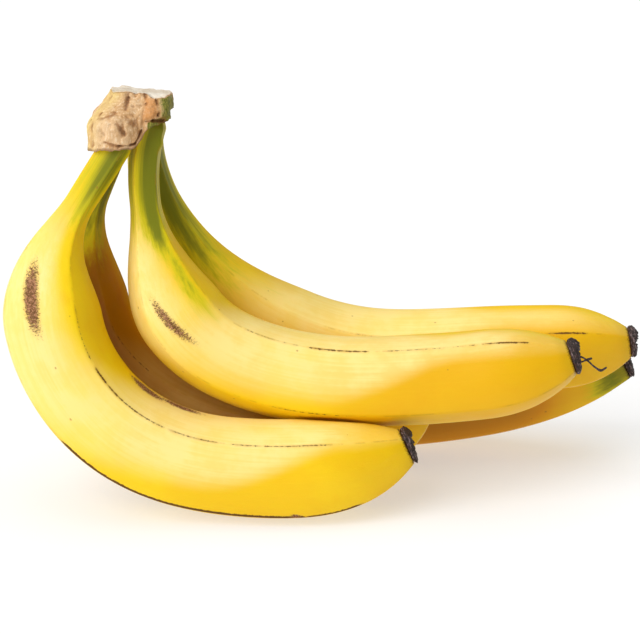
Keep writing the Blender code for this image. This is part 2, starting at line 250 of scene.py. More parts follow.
# Places round the crown: angle and half width, and height or depth where a third number follows.
FRONT_RIM_LIFT = (254, 16, 1.5)
CUT_CHIPS = ((300, 12, 1.4), (262, 7, 0.5), (232, 9, 0.6), (20, 12, 1.2), (96, 14, 1.0), (150, 10, 1.3))
TORN_FACE = (262, 34)
LEFT_LOBE = (212, 26)
ORANGE_PATCH = (290, 9)
GREEN_SIDE = (345, 40)
GREEN_TONGUE = (302, 16)
GREEN_BACK = (78, 30)

# Pits and cracks of the crown: angle and level at both ends, half width and depth.
CROWN_PITS = (
    (250, 0.94, 254, 0.80, 0.7, 0.9), (255, 0.79, 259, 0.68, 0.9, 1.1), (267, 0.61, 270, 0.58, 0.6, 0.8),
    (257, 0.46, 262, 0.39, 0.7, 0.7), (262, 0.36, 265, 0.28, 0.8, 0.8), (268, 0.47, 268, 0.40, 0.5, 0.5),
    (254, 0.34, 257, 0.30, 0.4, 0.5), (300, 0.84, 299, 0.32, 0.6, 1.5), (283, 0.88, 285, 0.66, 0.4, 0.4),
    (285, 0.27, 293, 0.20, 0.5, 0.9), (293, 0.20, 306, 0.06, 0.75, 1.5), (249, 0.14, 260, 0.07, 0.5, 1.1),
    (260, 0.07, 273, 0.08, 0.55, 1.3), (273, 0.08, 280, 0.18, 0.5, 1.2), (236, 0.60, 238, 0.46, 0.5, 0.3),
    (20, 0.80, 24, 0.30, 0.7, 0.8), (62, 0.90, 58, 0.45, 0.8, 1.0), (110, 0.70, 114, 0.42, 0.9, 1.1),
    (150, 0.85, 146, 0.50, 0.7, 0.9), (92, 0.40, 97, 0.33, 1.0, 1.0), (180, 0.35, 186, 0.22, 0.8, 0.8),
)

# Dried flowers: distance from the finger's end and share of its radius, from the peel to the middle.
BLOSSOM_GAP = 0.3
BLOSSOM_PROFILE = (
    (-0.25, 0.70), (0.0, 0.86), (0.5, 0.96), (1.3, 0.99), (2.1, 0.95), (2.7, 0.84), (2.95, 0.70),
    (2.6, 0.56), (1.9, 0.46), (1.7, 0.36), (1.9, 0.27), (2.2, 0.18), (2.4, 0.09), (2.4, 0.0),
)
BLOSSOM_THICKER = 0.32
BLOSSOM_SIZE = {"front_high": 1.22}
BLOSSOM_ROWS = 52
BLOSSOM_SIDES = 96
BLOSSOM_RAGS = 0.09
THREAD_FINGER = "front_high"
THREADS = (
    ((1.5, 0.6, 3.0), (3.7, 0.2, 3.6), (5.5, -1.6, 4.2), (7.2, -4.6, 4.5), (9.2, -6.9, 4.7),
     (11.8, -6.4, 5.0)),
    ((1.5, -2.4, 3.0), (3.2, -1.9, 3.5), (5.5, -1.6, 4.2), (7.6, -1.4, 4.8)),
)
THREAD_RADIUS = (0.7, 0.45, 0.4, 0.45, 0.6, 0.5)
THREAD_SIDES = 10
THREAD_STEPS = 40

# Colours as seen: red, green and blue from 0 to 255.
PEEL_COLOURS = dict(
    yellow=(238, 194, 3), light_yellow=(244, 206, 8), golden=(236, 183, 3),
    streak=(247, 210, 34), hair_line=(212, 158, 6), ripe_and_shade=(216, 146, 1), painted_shade_brown=(150, 98, 0),
    painted_highlight=(252, 227, 146), yellow_green=(206, 190, 4), deep_green=(104, 110, 1),
    olive=(176, 146, 6), burnt_and_shaded_rim=(64, 38, 12), rubbed=(176, 132, 18), bruise=(170, 118, 14),
    dark_line=(88, 52, 8), scab_stain=(214, 158, 84), scab_dark=(84, 38, 22),
    scab_light=(190, 132, 104), freckle=(150, 96, 24),
)
CORK_COLOURS = dict(
    cork=(214, 168, 116), light_cork=(232, 194, 148), pale_grain=(248, 222, 184),
    dark_grain=(172, 116, 62), yellow_lobe=(238, 212, 128), orange_patch=(208, 142, 78),
    moss=(94, 98, 22), light_moss=(160, 152, 64), pit=(150, 96, 48), deepest_pit=(88, 52, 24),
    burnt_and_shaded_rim=(112, 70, 28), cut=(226, 208, 182), light_cut=(244, 234, 216), cut_dot=(140, 104, 70),
    cut_edge=(150, 104, 62),
)
FLOWER_COLOURS = dict(
    black=(18, 7, 4), dark_brown=(52, 24, 14), grey_light=(166, 144, 144), tip=(34, 16, 8),
    seam=(104, 62, 26),
)

# Camera: 18 degrees above level, a metre from the middle of the hand.
LOOK_AT = (-4.18, 1.27, 65.3)
CAMERA_AWAY = 1000.0
CAMERA_ABOVE = 18.0
LENS = 146.25
SENSOR = 36.0

# Lights, all far away: direction that they come from, apparent width in degrees and strength.
LIGHTS = {
    "key": ((-0.80, -0.85, 0.80), 55.0, 2.5),
    "top": ((0.0, 0.2, 1.0), 80.0, 1.45),
}
WORLD_STRENGTH = 0.22
FLOOR_GREY = 0.52
FLOOR_GLOW = 0.48
FLOOR_SIZE = 8000.0


def ease(u):
    u = np.clip(u, 0.0, 1.0)
    return u * u * (3.0 - 2.0 * u)


def glide(stations, values, t):
    """A smooth curve through the values that never swings past them."""
    x, y, t = np.asarray(stations, float), np.asarray(values, float), np.asarray(t, float)
    step, rise = np.diff(x), np.diff(y) / np.diff(x)
    slope = np.zeros_like(y)
    same_way = rise[:-1] * rise[1:] > 0
    before, after = 2 * step[1:] + step[:-1], step[1:] + 2 * step[:-1]
    safe = np.where(same_way, 1.0, np.inf)
    slope[1:-1] = (before + after) / safe / (before / np.where(same_way, rise[:-1], 1.0)
                                             + after / np.where(same_way, rise[1:], 1.0))
    slope[0], slope[-1] = rise[0], rise[-1]
    k = np.clip(np.searchsorted(x, t, side="right") - 1, 0, len(step) - 1)
    u = (t - x[k]) / step[k]
    return (y[k] * (1 + 2 * u) * (1 - u) ** 2 + slope[k] * step[k] * u * (1 - u) ** 2
            + y[k + 1] * u * u * (3 - 2 * u) + slope[k + 1] * step[k] * u * u * (u - 1))


def rough(points, *sizes):
    """Smooth noise between -1 and 1 at points in millimetres, with one size or one for each axis."""
    scaled = np.asarray(points, float) / np.array(sizes)
    return np.array([noise.noise(Vector(p)) for p in scaled.tolist()])


def window(value, start, end, soft):
    """1 between start and end, with soft edges of that width inside them."""
    return ease((value - start) / soft) * ease((end - value) / soft)


def turned_by(angle, middle):
    """Difference between two angles in degrees, from -180 to 180."""
    return (np.asarray(angle) - middle + 180.0) % 360.0 - 180.0


def hump(distance, half_width):
    return np.exp(-(distance / half_width) ** 2)


class Finger:
    """One banana: a bent centreline with a ridged section round it, in millimetres."""

    def __init__(self, root, headings, length, lean, turn, pedicel, belly, end, neck, narrows, ridges):
        self.length, self.pedicel, self.belly, self.end = length, pedicel, belly, end
        self.neck, self.narrows = neck, narrows
        self.ridges = np.radians(np.array(ridges + (ridges[0] + 360,), float))
        lean, turn = math.radians(lean), math.radians(turn)
        self.side = np.array((math.cos(turn), math.sin(turn), 0.0))
        self.rise = np.array((0.0, math.sin(lean), math.cos(lean)))
        front = np.cross(self.side, self.rise)
        self.front = front / np.linalg.norm(front)
        self.samples = np.linspace(0.0, 1.0, CENTRELINE_SAMPLES)
        self.heading = np.radians(glide(HEADING_STATIONS, headings, self.samples))
        step = length / (CENTRELINE_SAMPLES - 1)
        run = self.walk(np.cos(self.heading), step)
        climb = self.walk(np.sin(self.heading), step)
        start = np.array(root) - np.array(BASE_POINT)
        self.centre = start + run[:, None] * self.side + climb[:, None] * self.rise

    @staticmethod
    def walk(speed, step):
        return np.concatenate(([0.0], np.cumsum((speed[1:] + speed[:-1]) / 2 * step)))

    def place(self, t):
        return np.stack([np.interp(t, self.samples, self.centre[:, axis]) for axis in range(3)], -1)

    def onward(self, t, turn=0.0):
        """Direction of the centreline at t, turned within the plane of the bend."""
        heading = np.interp(t, self.samples, self.heading)[..., None] + turn
        return np.cos(heading) * self.side + np.sin(heading) * self.rise

    def inward(self, t):
        return self.onward(t, math.pi / 2)

    def outward(self, t, angle):
        angle = np.asarray(angle)[..., None]
        return np.cos(angle) * self.inward(t) + np.sin(angle) * self.front

    def face_of(self, angle):
        """Which face an angle lies on, that face's width, and the place across it from -1 to 1."""
        first = self.ridges[0]
        angle = (np.asarray(angle) - first) % FULL_TURN + first
        face = np.clip(np.searchsorted(self.ridges, angle, side="right") - 1, 0, RIDGES - 1)
        width = self.ridges[face + 1] - self.ridges[face]
        return face, width, 2 * (angle - self.ridges[face]) / width - 1

    def radius(self, t, angle):
        """Radius of the ridged section, before any neighbour flattens it."""
        grow = ease((t - self.neck[0]) / (self.neck[1] - self.neck[0]))
        narrow = np.clip((t - self.narrows) / (1 - self.narrows), 0, 1) ** END_FULLNESS
        mean = self.pedicel + (self.belly - self.pedicel) * grow
        mean = mean * (1 - narrow * (1 - self.end / self.belly))
        mean = mean * (ROOT_SHARE + (1 - ROOT_SHARE) * ease(t / ROOT_ENDS_AT))
        dip = FACE_DIP_NECK + (FACE_DIP_BELLY - FACE_DIP_NECK) * grow
        dip = dip + (FACE_DIP_END - FACE_DIP_BELLY) * narrow
        face, width, across = self.face_of(angle)
        sink = (np.hypot(1 - across ** 2, RIDGE_ROUNDING) - RIDGE_ROUNDING) / (
            math.hypot(1, RIDGE_ROUNDING) - RIDGE_ROUNDING)
        return mean * (1 + dip / 2 - dip * (width / math.radians(RIDGE_SPACING)) ** 2 * sink)

    def outside(self, points):
        """How far points lie outside this finger's skin, and below zero inside it."""
        nearest = (-2 * points @ self.centre.T + (self.centre ** 2).sum(axis=1)).argmin(axis=1)
        t = self.samples[nearest]
        reach = points - self.centre[nearest]
        angle = np.arctan2(reach @ self.front, (reach * self.inward(t)).sum(axis=1))
        return np.linalg.norm(reach, axis=1) - self.radius(t, angle)

    def angles(self, sides_per_face):
        """Angles round the section, with one on each ridge."""
        parts = [np.linspace(a, b, sides_per_face, endpoint=False)
                 for a, b in zip(self.ridges[:-1], self.ridges[1:])]
        return np.concatenate(parts)


def crowded(count):
    """Steps from 0 to 1 that stand closer together near both ends."""
    u = np.linspace(0, 1, count)
    return u - END_CROWDING * np.sin(FULL_TURN * u) / FULL_TURN


def pressed_reach(finger, neighbours, t, angle):
    """Reach of the skin from the centreline, flattened where neighbours press on it."""
    centre, out = finger.place(t), finger.outward(t, angle)
    full = finger.radius(t, angle)
    reach = full.copy()
    for other in neighbours:
        def room(length, pick):
            there = centre[pick] + length[:, None] * out[pick]
            return other.outside(there) - (length - full[pick]) - PEEL_GAP
        pick = np.nonzero(room(reach, slice(None)) < 0)[0]
        if not len(pick):
            continue
        low, high = np.zeros(len(pick)), reach[pick]
        for _ in range(PRESS_STEPS):
            middle = (low + high) / 2
            fits = room(middle, pick) >= 0
            low, high = np.where(fits, middle, low), np.where(fits, high, middle)
        reach[pick] = low
    return full, reach


def softened(grid, times):
    """A grid of depths, each averaged with its neighbours along and round the finger."""
    for _ in range(times):
        grid = (2 * grid + np.roll(grid, 1, axis=1) + np.roll(grid, -1, axis=1)) / 4
        above, below = np.vstack((grid[:1], grid[:-1])), np.vstack((grid[1:], grid[-1:]))
        grid = (2 * grid + above + below) / 4
    return grid


def scab_shape(finger, t, angle, radius, scab):
    """How deep inside one scab a place lies: its density in the middle and 0 at its edge."""
    middle, turned, half_length, half_width, slant, density = scab
    along = (t - middle) * finger.length
    around = np.radians(turned_by(np.degrees(angle), turned)) * radius
    slant = math.radians(slant)
    long_way = along * math.cos(slant) + around * math.sin(slant)
    short_way = around * math.cos(slant) - along * math.sin(slant)
    distance = (np.abs(long_way / half_length) ** 2.4 + np.abs(short_way / half_width) ** 2) ** 0.5
    return density * np.clip(1.25 - distance, 0.0, 1.0)


def grid_faces(rows, sides, first_middle, last_middle):
    """Faces of a tube of rows and sides, closed by a middle point at each end."""
    faces, last_row = [], (rows - 1) * sides
    for base in range(0, last_row, sides):
        for side in range(sides):
            after = (side + 1) % sides
            faces.append((base + side, base + after, base + sides + after, base + sides + side))
    for side in range(sides):
        after = (side + 1) % sides
        faces.append((after, side, first_middle))
        faces.append((last_row + side, last_row + after, last_middle))
    return faces


def put(name, data):
    """A new object in the scene."""
    added = bpy.data.objects.new(name, data)
    bpy.context.scene.collection.objects.link(added)
    return added


def make_piece(name, points, faces, material, node, slot, **values):
    """A mesh piece that stands for a node, with named values at its points for the material."""
    data = bpy.data.meshes.new(name)
    data.from_pydata((np.asarray(points) * MM).tolist(), [], faces)
    shell = bmesh.new()
    shell.from_mesh(data)
    bmesh.ops.recalc_face_normals(shell, faces=shell.faces)
    shell.to_mesh(data)
    shell.free()
    for value_name, numbers in values.items():
        numbers = np.asarray(numbers, np.float32)
        kind, field = ("FLOAT_VECTOR", "vector") if numbers.ndim == 2 else ("FLOAT", "value")
        data.attributes.new(value_name, kind, "POINT").data.foreach_set(field, numbers.ravel())
    data.materials.append(material)
    data.shade_smooth()
    data.update()
    piece = put(name, data)
    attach(piece, "root")
    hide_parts(node)


def lines_on_ridges(name, t, nearest):
    """How dark a bruised line is at a place whose nearest ridge is given."""
    line = np.zeros_like(t)
    for ridge, start, end, darkness in LINES[name]:
        line = np.maximum(line, darkness * window(t, start, end, LINE_FADE) * (nearest == ridge))
    return line


def greenness(name, t, angle):
    """How green the skin is at the neck, and on one finger at its end."""
    degrees = np.degrees(angle)
    all_round, more, fades, gone, deeper, half_width = GREEN[name]
    # The deeper side of the green is partly painted shade.
    green = all_round + more * hump(turned_by(degrees, deeper), half_width)
    green = green * (1 - ease((t - fades) / (gone - fades)))
    if name in GREEN_TRAILS:
        strength, faded, middle, half_width = GREEN_TRAILS[name]
        trail = strength * hump(turned_by(degrees, middle), half_width)
        green = np.maximum(green, trail * (1 - ease((t - faded + TRAIL_FADE) / TRAIL_FADE)))
    if name in GREEN_ENDS:
        strength, starts, whole = GREEN_ENDS[name]
        green = np.maximum(green, strength * ease((t - starts) / (whole - starts)))
    return green


def painted_highlight_share(name, finger, t, angle):
    """How strongly the painted highlight pales the skin."""
    facing_highlight = finger.outward(t, angle) @ np.array(PAINTED_HIGHLIGHT_SIDE) / np.linalg.norm(PAINTED_HIGHLIGHT_SIDE)
    strength, until = TONES[name][:2]
    drawn_back = ease((t - until) / PALE_DRAWS_BACK)
    start, reach = (before + (after - before) * drawn_back for before, after in (PALE_FROM, PALE_REACH))
    pale = strength * ease((facing_highlight - start) / reach)
    ends, fade, less = PALE_ENDS
    return pale * ease((t - PALE_STARTS[0]) / PALE_STARTS[1]) * (1 - less * ease((t - ends) / fade))


def ripeness_and_shade(name, t, angle, pressed):
    """How golden the skin is from 0 to 1, and above that how brown its painted shade makes it."""
    # Painted shade: brown on the shaded side of the middle and back low fingers.
    shaded = ease(np.cos(angle - math.radians(SHADED_ANGLE)) * 0.9) * window(t, *SHADED_SPAN)
    at_end = ease((t - END_RIPENS[0]) / END_RIPENS[1])
    in_front = ease((np.sin(angle) + 0.1) / 0.8)
    golden, brown, golden_end = TONES[name][2:]
    ripe_and_shade = golden + brown * shaded + golden_end * at_end * in_front
    # Painted shade where another finger presses on the skin.
    return ripe_and_shade + PRESSED_SHADE[0] * ease(pressed / PRESSED_SHADE[1])


def peel_relief(name, finger, t, angle, full, straight, to_ridge, scab):
    """Lumps, ripples, ridges and scabs of the skin, in millimetres outward."""
    calm = ease(t / ROOT_ENDS_AT) * ease((1 - t) / RELIEF_ENDS)
    relief = sum(height * rough(straight, along, size, size) for height, along, size in (LUMPS, RIPPLES))
    relief += RIDGE_BEAD[0] * hump(to_ridge, RIDGE_BEAD[1])
    relief += SCAB_RELIEF[0] * scab * rough(straight, SCAB_RELIEF[1])
    if name == KNOB_FINGER:
        away = np.hypot((t - KNOB[0]) * finger.length,
                        np.radians(turned_by(np.degrees(angle), KNOB[1])) * full)
        relief += KNOB[3] * hump(away, KNOB[2])
    return relief * calm


def kept_in_box(points):
    """Points in millimetres, held inside the box of the solids."""
    lowest, highest = (np.array(corner) / MM for corner in cad_box)
    inner = np.array((BOX_MARGIN, BOX_MARGIN, 0.0))
    return np.clip(points, lowest + inner, highest - inner)


def make_peel(name, finger, neighbours, material, number):
    """The skin of one banana, from its root in the crown to its blossom end."""
    stations, angles = crowded(PEEL_STATIONS), finger.angles(PEEL_SIDES_PER_FACE)
    shape = (len(stations), len(angles))
    t, angle = (grid.ravel() for grid in np.meshgrid(stations, angles, indexing="ij"))
    full, reach = pressed_reach(finger, neighbours, t, angle)
    pressed = softened((full - reach).reshape(shape), PRESS_SOFTENING).ravel()
    face, width, across = finger.face_of(angle)
    to_ridge = (1 - np.abs(across)) * width / 2 * full
    nearest = np.where(across > 0, face + 1, face) % RIDGES
    scab = np.zeros_like(t)
    for one in SCABS[name]:
        scab = np.maximum(scab, scab_shape(finger, t, angle, full, one))
    along = t * finger.length + APART * number
    straight = np.stack((along, full * np.cos(angle), full * np.sin(angle)), 1)

    relief = peel_relief(name, finger, t, angle, full, straight, to_ridge, scab)
    spread = full - pressed - PEEL_INSET + relief
    points = kept_in_box(finger.place(t) + spread[:, None] * finger.outward(t, angle))
    last_ring, end, onward = points[-len(angles):], finger.place(1.0), finger.onward(1.0)
    lips = [end + (last_ring - end) * share + onward * away for away, share in PEEL_LIPS]
    middles = [finger.place(0.0), end - PEEL_MIDDLE_SINK * onward]
    points = np.concatenate((points, *lips, middles))
    rows = len(stations) + len(lips)
    faces = grid_faces(rows, len(angles), len(points) - 2, len(points) - 1)

    values = dict(
        straight=straight, from_end=(1 - t) * finger.length, to_ridge=to_ridge,
        line=lines_on_ridges(name, t, nearest), scab=scab, green=greenness(name, t, angle),
        pale=painted_highlight_share(name, finger, t, angle), ripe_and_shade=ripeness_and_shade(name, t, angle, pressed))
    # The points of the lips and the two middles take the values of the end ring and the root.
    for key, numbers in values.items():
        ring = numbers[-len(angles):]
        values[key] = np.concatenate((numbers, ring, ring, numbers[:1], ring[:1]))
    make_piece("peel_" + name, points, faces, material, "banana_" + name, "banana_skin", **values)


def lobed_reach(angle):
    """Distance from the crown's axis to the outline round the five pedicels, at angles in radians."""
    total = np.zeros_like(angle)
    for x, y, radius in CROWN_LOBES:
        x, y = x - CROWN_AXIS[0], y - CROWN_AXIS[1]
        along = x * np.cos(angle) + y * np.sin(angle)
        aside = x * np.sin(angle) - y * np.cos(angle)
        chord = np.sqrt(np.maximum(radius ** 2 - aside ** 2, 0.0))
        total += np.where(np.abs(aside) < radius, np.maximum(along + chord, 0.0), 0.0) ** LOBE_BLEND
    return total ** (1 / LOBE_BLEND)


def cut_reach(angle):
    """Distance from the cut's centre to its edge, a rounded oblong."""
    across = np.abs(np.cos(angle) / CUT_HALF_SIZE[0]) ** CUT_SQUARENESS
    back = np.abs(np.sin(angle) / CUT_HALF_SIZE[1]) ** CUT_SQUARENESS
    return (across + back) ** (-1 / CUT_SQUARENESS)


def segment_distance(place, start, end):
    """Distance from places to a stretch between two points."""
    way = end - start
    share = np.clip(((place - start) @ way) / max(way @ way, 1e-9), 0, 1)
    return np.linalg.norm(place - start - share[:, None] * way, axis=1)


def crown_points(angle, level, share):
    """Places on the crown: level 0 is its lower rim and 1 the cut, and share 0 its axis."""
    direction = np.stack((np.cos(angle), np.sin(angle)), 1)
    low = np.array(CROWN_AXIS) + direction * (lobed_reach(angle) * share)[:, None]
    high = np.array(CUT_CENTRE) + direction * (cut_reach(angle) * share)[:, None]
    plan = low + (high - low) * ease((level - LOBES_END) / (1 - LOBES_END))[:, None]
    rim_x = np.clip(low[:, 0], CROWN_RIM_X[0], CROWN_RIM_X[-1])
    rim = glide(CROWN_RIM_X, CROWN_RIM_HEIGHT, rim_x)
    lift, half_width, height = FRONT_RIM_LIFT
    rim = rim + height * hump(turned_by(np.degrees(angle), lift), half_width)
    fall = CUT_FALL[0] * (plan[:, 0] - CUT_CENTRE[0]) + CUT_FALL[1] * (plan[:, 1] - CUT_CENTRE[1])
    height = rim + (CUT_HEIGHT - fall - rim) * level
    place = np.column_stack((plan, height))
    rug = rough(place, CROWN_RUG_SIZE) * CROWN_RUGGEDNESS * share
    place[:, :2] += direction * rug[:, None]
    return place - np.array(BASE_POINT)


def crown_zones(angle, level):
    """How much of each kind of tissue a place on the crown's side shows."""
    degrees = np.degrees(angle)

    def zone(middle, half_width):
        return ease(1.5 - np.abs(turned_by(degrees, middle)) / half_width)

    torn = zone(*TORN_FACE)
    lobe = zone(*LEFT_LOBE)
    orange = zone(*ORANGE_PATCH) * window(level, 0.22, 0.95, 0.15)
    green = zone(*GREEN_SIDE) * window(level, -0.2, 1.0, 0.12)
    green = np.maximum(green, 0.7 * zone(*GREEN_BACK) * (1 - level))
    under_crack = zone(*GREEN_TONGUE) * ease((0.24 - level) / 0.05) * ease((degrees - 284) / 3)
    green = np.maximum(green, under_crack)
    return torn, lobe, orange, green


def pitted(points):
    """Depth of the pits, folds and cracks at points on the crown."""
    uneven = 1 + PIT_UNEVENNESS[0] * rough(points, PIT_UNEVENNESS[1])
    depth = np.zeros(len(points))
    for from_angle, from_level, to_angle, to_level, half_width, deep in CROWN_PITS:
        levels = np.array((from_level, to_level))
        ends = crown_points(np.radians((from_angle, to_angle)), levels, np.ones(2))
        depth += deep * hump(segment_distance(points, *ends) * uneven, half_width)
    return depth


def chipped(out, angle, level, share):
    """How far the edge of the knife cut has crumbled away."""
    degrees = np.degrees(angle)
    chips = sum(deep * hump(turned_by(degrees, middle), half) for middle, half, deep in CUT_CHIPS)
    chips = chips + CUT_CRUMBLES[0] * np.clip(rough(out * CUT_CRUMBLES[1], CUT_CRUMBLES[2]), 0, 1)
    return chips * ease((level - 0.82) / 0.18) * ease((share - 0.55) / 0.45)


def make_crown(material):
    """The stump of cork and torn fibre that carries the five pedicels."""
    angles = np.linspace(0, FULL_TURN, CROWN_SIDES, endpoint=False)
    under = [(0.0, share, raised) for share, raised in UNDERSIDE_ROWS]
    side = [(level, 1.0, 0.0) for level in np.linspace(0, 1, CROWN_ROWS)]
    cut = [(1.0, share, 0.0) for share in np.linspace(1, 0, CUT_ROWS + 1)[1:-1]]
    rows = np.array(under + side + cut)
    level, share, raised = (np.repeat(rows[:, k], CROWN_SIDES) for k in range(3))
    angle = np.tile(angles, len(rows))
    points = crown_points(angle, level, share)
    points[:, 2] += raised * UNDERSIDE_RISE
    torn, lobe, orange, green = crown_zones(angle, level)
    on_side = ease((share - SIDE_STARTS) / (1 - SIDE_STARTS))
    on_cut = (level == 1.0) & (share < 1.0)
    out = np.stack((np.cos(angle), np.sin(angle), np.zeros_like(angle)), 1)

    # Grain, gouges and pits go in from the side.
    grain = sum(height * rough(points, size) for height, size in CORK_GRAIN)
    gouge = np.clip(rough(points, GOUGES[1], GOUGES[1], GOUGES[2]) - GOUGES_START, 0.0, 1.0)
    depth = (0.35 + 0.65 * torn) * GOUGES[0] * gouge * window(level, 0.0, 1.05, 0.1)
    depth = depth + pitted(points) * on_side
    moved = grain * (0.45 + 0.55 * torn + 0.3 * orange - 0.25 * lobe) - depth
    edge = hump(1 - level, EDGE_LEVEL) * on_side
    points += out * ((moved - EDGE_INWARD * edge) * on_side * ease(level / 0.04 + 0.3))[:, None]

    # Rags hang from the rim, and nicks, a shallow bowl and chips go down into the cut.
    rags = sum(height * rough(points, size) for height, size in RIM_RAGS)
    points[:, 2] += rags * hump(level, RIM_LEVEL) * np.clip(share * 4 - 3, 0, 1)
    nicks = CUT_NICKS[0] * np.clip(rough(points, CUT_NICKS[1], CUT_NICKS[1], 50.0) - CUT_NICKS[2], 0, 1)
    nicks = np.abs(nicks + CUT_GRAIN[0] * rough(points, CUT_GRAIN[1]))
    points[:, 2] -= chipped(out, angle, level, share)
    points[:, 2] -= np.where(on_cut, nicks + CUT_BOWL * (1 - share), EDGE_DOWN * edge)

    middles = [points[:CROWN_SIDES].mean(axis=0), points[-CROWN_SIDES:].mean(axis=0)]
    faces = grid_faces(len(rows), CROWN_SIDES, len(points), len(points) + 1)
    values = dict(
        lobe=lobe, orange=orange, green=green * on_side, edge=edge, rim=hump(level, BURNT_AND_SHADED_LEVEL) * on_side,
        cavity=np.clip((depth + np.clip(-grain, 0, 1)) / 1.1, 0, 1) * on_side,
        cut=np.where(on_cut, ease((1 - share) / 0.06), 0.0))
    for key, numbers in values.items():
        values[key] = np.concatenate((numbers, numbers[:1], numbers[-1:]))
    points = np.concatenate((points, middles))
    make_piece(
        "crown_cork", points, faces, material, "crown", "crown_tissue", place=points, **values)


def flowing(route, steps):
    """A smooth line through the points of a route."""
    route = np.array(route)
    slope = np.gradient(route, axis=0)
    k = np.minimum((steps * (len(route) - 1)).astype(int), len(route) - 2)
    u = (steps * (len(route) - 1) - k)[:, None]
    return (route[k] * (1 + 2 * u) * (1 - u) ** 2 + slope[k] * u * (1 - u) ** 2
            + route[k + 1] * u * u * (3 - 2 * u) + slope[k + 1] * u * u * (u - 1))


def thread_tube(finger, route):
    """Points and faces of one dried thread, from inside the dried flower out along its route."""
    end, onward, inward = finger.place(1.0), finger.onward(1.0), finger.inward(1.0)
    steps = np.linspace(0, 1, THREAD_STEPS)
    along, inside, front = flowing(route, steps).T
    line = end + along[:, None] * onward + inside[:, None] * inward + front[:, None] * finger.front
    line += 0.06 * np.stack([rough(line + shift, 1.6) for shift in (0.0, 40.0, 80.0)], 1)
    widths = glide(np.linspace(0, 1, len(THREAD_RADIUS)), THREAD_RADIUS, steps)
    widths = widths * np.sqrt(1 - np.clip(steps * 18 - 17, 0, 1) ** 2 * 0.85)
    ahead = np.gradient(line, axis=0)
    ahead /= np.linalg.norm(ahead, axis=1)[:, None]
    across = np.cross(ahead, finger.front)
    across /= np.linalg.norm(across, axis=1)[:, None]
    other = np.cross(ahead, across)
    turns = np.linspace(0, FULL_TURN, THREAD_SIDES, endpoint=False)
    round_it = (np.cos(turns)[None, :, None] * across[:, None]
                + np.sin(turns)[None, :, None] * other[:, None]) * (widths * 0.82)[:, None, None]
    uneven = rough((line[:, None] + round_it).reshape(-1, 3), 0.6).reshape(round_it.shape[:2])
    rings = line[:, None] + round_it * (1 + 0.2 * uneven[..., None])
    points = np.concatenate((rings.reshape(-1, 3), line[:1], line[-1:]))
    return points, grid_faces(THREAD_STEPS, THREAD_SIDES, len(points) - 2, len(points) - 1)


def make_dried_flower(name, finger, neighbours, material):
    """The black remains of the flower: a ragged, fibrous stub, hollow round a middle spike."""
    end, onward = finger.place(1.0), finger.onward(1.0)
    marks = np.linspace(0, 1, len(BLOSSOM_PROFILE))
    steps = np.linspace(0, 1, BLOSSOM_ROWS)
    away, share = (glide(marks, values, steps) for values in zip(*BLOSSOM_PROFILE))
    angles = np.linspace(0, FULL_TURN, BLOSSOM_SIDES, endpoint=False)
    away, share = (np.repeat(values[:-1], BLOSSOM_SIDES) for values in (away, share))
    angle = np.tile(angles, BLOSSOM_ROWS - 1)
    out = finger.outward(np.ones_like(angle), angle)
    reach = finger.radius(1.0, angle) * share
    seat = end + out * reach[:, None] + onward * (BLOSSOM_GAP + away)[:, None]
    fibres = rough(out * 5.5 + end * 0.1 + onward * (away * 0.10)[:, None], 1.0)
    rags = rough(seat, 2.4)
    layer = away * 1.5 + 30 * np.sign(away - 2.4)
    layers = rough(np.stack((layer, 1.6 * np.cos(angle), 1.6 * np.sin(angle)), 1), 1.0)
    reach *= 1 + BLOSSOM_RAGS * rags + 0.06 * fibres + 0.07 * layers - 0.05
    top = ease((away - 1.2) / 1.6)
    lift = away - top * (0.8 * np.clip(fibres + 0.3, 0, 1) + 0.4 * np.clip(rags, 0, 1))
    lift *= (1 + BLOSSOM_THICKER * np.cos(angle)) * BLOSSOM_SIZE.get(name, 1.0)
    points = end + out * reach[:, None] + onward * (BLOSSOM_GAP + lift)[:, None]
    points += 0.16 * out * rough(points, 0.8)[:, None]
    for other in neighbours:
        too_close = np.clip(PEEL_GAP - other.outside(points), 0.0, None)
        points -= out * too_close[:, None]
    middles = [end, end + onward * (BLOSSOM_GAP + BLOSSOM_PROFILE[-1][0])]
    points = np.concatenate((points, middles))
    faces = grid_faces(BLOSSOM_ROWS - 1, BLOSSOM_SIDES, len(points) - 2, len(points) - 1)
    if name == THREAD_FINGER:
        for route in THREADS:
            thread, thread_faces = thread_tube(finger, route)
            faces += [tuple(corner + len(points) for corner in face) for face in thread_faces]
            points = np.concatenate((points, thread))
    height = (points - end) @ onward
    make_piece(
        "dried_flower_" + name, points, faces, material, "blossom_end_" + name, "dried_blossom",
        place=points, height=height)


def srgb(red, green, blue):
    """A colour as seen, 0 to 255, in the linear values of a shader."""
    def linear(value):
        value = value / 255
        return value / 12.92 if value <= 0.04045 else ((value + 0.055) / 1.055) ** 2.4
    return (linear(red), linear(green), linear(blue), 1.0)


